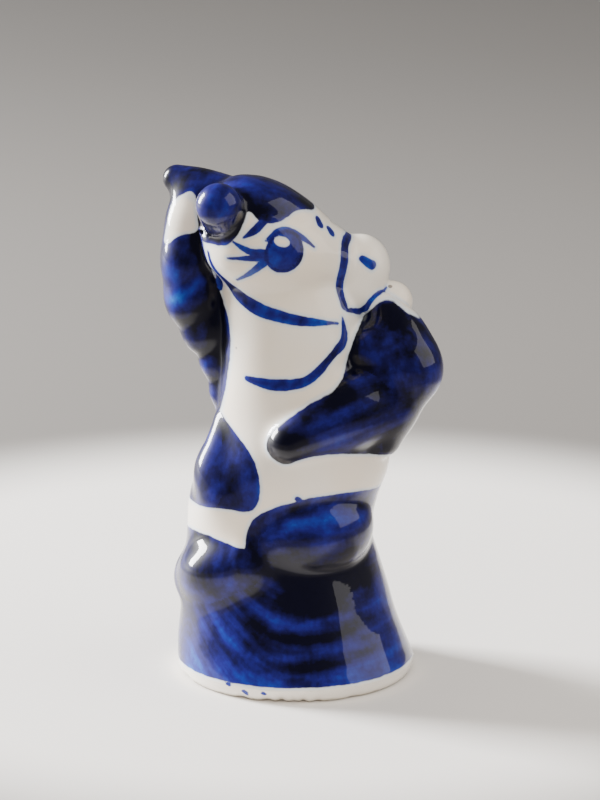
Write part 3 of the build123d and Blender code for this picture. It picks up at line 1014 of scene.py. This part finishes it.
def painted_glaze(name):
    """Cobalt brushed on a white body, under one clear glossy glaze."""
    shader = Shader(name)
    places = shader.add("TexCoord", output="Object")
    edge_gap = shader.add("Attribute", output="Fac", attribute_name="paint")
    depth = shader.add("Attribute", output="Fac", attribute_name="depth")
    grain = shader.add("Attribute", output="Vector", attribute_name="grain")

    ragged = shader.maths("ADD", shader.layer(places, RAGGED_FINE), shader.layer(places, RAGGED))
    gap = shader.maths("ADD", edge_gap, ragged)
    cover = shader.span(gap, *COVER)
    halo = shader.span(gap, *HALO_SPAN)
    thin_edge = shader.span(gap, *THIN_SPAN)

    uneven = shader.maths("ADD", shader.layer(places, CLOUDS), shader.layer(places, GRIT))
    # The depth attribute brings the cobalt's thickness together with painted shade and painted highlights.
    thickness_and_painted_light = shader.maths("ADD", depth, shader.layer(grain, BRUSH_STREAKS))
    thickness_and_painted_light = shader.maths("ADD", thickness_and_painted_light, uneven)
    thickness_and_painted_light = shader.maths("SUBTRACT", thickness_and_painted_light, shader.maths("MULTIPLY", thin_edge, THINNER))
    cobalt = shader.ramp(thickness_and_painted_light, COBALT)

    warmth = shader.span(shader.noise(places, *WARM_CLOUDS), *WARM_SPAN)
    body = shader.mix(warmth, (*WHITE, 1), (*WARM_WHITE, 1))
    body = shader.mix(halo, body, (*HALO, 1))
    spot = shader.add("TexVoronoi", {"Vector": places, "Scale": SPECK_SCALE}, "Distance")
    body = shader.mix(shader.span(spot, *SPECK_SPAN), body, (*SPECK, 1))
    shader.feed(shader.surface.inputs["Base Color"], shader.mix(cover, body, cobalt))

    height = shader.maths("ADD", shader.noise(places, *ORANGE_PEEL), shader.layer(places, DIMPLES))
    bump = shader.add("Bump", {"Height": height, **GLAZE_BUMP}, "Normal")
    shader.feed(shader.surface.inputs["Normal"], bump)
    shader.feed(shader.surface.inputs["Coat Normal"], bump)
    shader.surface_values(Roughness=0.4, IOR=1.5, Specular_IOR_Level=0.08)
    shader.surface_values(Coat_Weight=1.0, Coat_Roughness=0.03, Coat_IOR=1.32)
    return shader.material


def bare_foot(name):
    """White glaze that thins to bare biscuit at the lower edge, a mottled grey-brown darker than the
    glaze.
    """
    shader = Shader(name)
    places = shader.add("TexCoord", output="Object")
    gap = shader.add("Attribute", output="Fac", attribute_name="paint")
    level = shader.add("SeparateXYZ", {"Vector": places}, "Z")
    uneven = shader.layer(places, UNEVEN)
    bare = shader.span(shader.maths("ADD", level, uneven), *BARE_SPAN)
    mottle = shader.span(shader.noise(places, *BISCUIT_MOTTLE), *MOTTLE_SPAN)
    biscuit = shader.mix(mottle, (*BISCUIT_DARK, 1), (*BISCUIT, 1))
    colour = shader.mix(bare, (*WHITE, 1), biscuit)
    ragged = shader.maths("ADD", gap, shader.maths("MULTIPLY", uneven, DROP_RAGGED))
    drop = shader.span(ragged, -DROP_EDGE, DROP_EDGE, 1.0, 0.0)
    colour = shader.mix(drop, colour, (*COBALT[2][1], 1))
    shader.feed(shader.surface.inputs["Base Color"], colour)
    shader.feed(shader.surface.inputs["Roughness"], shader.span(bare, *BARE_ROUGHNESS))
    height = shader.maths("MULTIPLY", shader.noise(places, *BISCUIT_GRAIN), bare)
    bump = shader.add("Bump", {"Height": height, **BISCUIT_BUMP}, "Normal")
    shader.feed(shader.surface.inputs["Normal"], bump)
    shader.surface_values(IOR=1.5)
    return shader.material


glazes = {
    "glaze_white": painted_glaze("glaze_white"),
    "glaze_cobalt": painted_glaze("glaze_cobalt"),
    "bisque": bare_foot("bisque"),
}
for name, piece in pieces.items():
    piece.data.materials.append(glazes[slots[name]])

# ---------------------------------------------------------------- camera, lights and stage
CAMERA_DISTANCE, CAMERA_RISE = 0.45, radians(15)
CAMERA_AIM = Vector((0.00045, 0, 0.03535))
CAMERA_STAND = Vector((0.00045, 0, 0.033))
FOCAL_LENGTH, SENSOR_WIDTH = 160.5, 36  # in mm
LAMP_AIM, SIDE_AIM = (0, 0, 0.03), (0, 0, 0.035)  # what the lamps are aimed at
ROOM_COLOUR, ROOM_STRENGTH = (1, 0.97, 0.93, 1), 0.14
PAINTED_LIGHT_EDGE, PAINTED_SHADE_EDGE = (0.062, 0.098), (0.098, 0.5)  # how far off the painted pool of light fades to painted shade, and that to deeper painted shade, in metres
PAPER_ROUGHNESS = 0.85


def look(thing, place, aim):
    """Stands a camera or light at a place, turned to the aim."""
    thing.location = place
    thing.rotation_euler = (Vector(aim) - Vector(place)).to_track_quat("-Z", "Y").to_euler()


lens = bpy.data.cameras.new("camera")
lens.lens, lens.sensor_width = FOCAL_LENGTH, SENSOR_WIDTH
camera = bpy.data.objects.new("camera", lens)
bpy.context.scene.collection.objects.link(camera)
away = Vector((0, -cos(CAMERA_RISE), sin(CAMERA_RISE))) * CAMERA_DISTANCE
look(camera, CAMERA_STAND + away, CAMERA_AIM)
bpy.context.scene.camera = camera


def softbox(name, place, aim, sides, power, colour, glints=True):
    """A rectangular lamp with an even face, which the glaze reflects or not."""
    lamp = bpy.data.lights.new(name, "AREA")
    lamp.shape, (lamp.size, lamp.size_y) = "RECTANGLE", sides
    lamp.energy, lamp.color = power, colour
    holder = bpy.data.objects.new(name, lamp)
    holder.visible_glossy = glints
    bpy.context.scene.collection.objects.link(holder)
    look(holder, place, aim)


softbox(
    "window",
    place=(-0.70, 0.34, 0.30),
    aim=LAMP_AIM,
    sides=(0.24, 0.46),
    power=42,
    colour=(1, 1, 1),
)
softbox(
    "side_box",
    place=(0.72, -0.14, 0.46),
    aim=SIDE_AIM,
    sides=(0.80, 0.72),
    power=5.0,
    colour=(1, 0.965, 0.93),
)
softbox(
    "ceiling_fill",
    place=(0.0, 0.0, 1.6),
    aim=LAMP_AIM,
    sides=(2.4, 2.4),
    power=20,
    colour=(1, 0.97, 0.92),
    glints=False,
)
softbox(
    "front_fill",
    place=(-0.15, -0.9, 0.55),
    aim=LAMP_AIM,
    sides=(0.9, 0.9),
    power=7.0,
    colour=(1, 0.91, 0.80),
    glints=False,
)

room = bpy.data.worlds.new("room")
room.use_nodes = True
room.node_tree.nodes["Background"].inputs["Color"].default_value = ROOM_COLOUR
room.node_tree.nodes["Background"].inputs["Strength"].default_value = ROOM_STRENGTH
bpy.context.scene.world = room


def make_floor():
    """A wide paper floor with a painted pool of light round the figure, and painted shade, greyer, further
    off.
    """
    mesh = bpy.data.meshes.new("floor")
    corners = [(-FLOOR, -FLOOR, 0), (FLOOR, -FLOOR, 0), (FLOOR, FLOOR, 0), (-FLOOR, FLOOR, 0)]
    mesh.from_pydata(corners, [], [(0, 1, 2, 3)])
    floor = bpy.data.objects.new("floor", mesh)
    bpy.context.scene.collection.objects.link(floor)
    shader = Shader("paper")
    places = shader.add("TexCoord", output="Object")
    off = shader.add("VectorMath", {0: places, 1: PAINTED_LIGHT_MIDDLE}, "Value", operation="DISTANCE")
    shade = shader.mix(shader.span(off, *PAINTED_LIGHT_EDGE), (*PAPER_IN_PAINTED_LIGHT, 1), (*PAPER_IN_PAINTED_SHADE, 1))
    shade = shader.mix(shader.span(off, *PAINTED_SHADE_EDGE), shade, (*PAPER_IN_DEEPER_PAINTED_SHADE, 1))
    shader.feed(shader.surface.inputs["Base Color"], shade)
    shader.surface_values(Roughness=PAPER_ROUGHNESS)
    mesh.materials.append(shader.material)


make_floor()
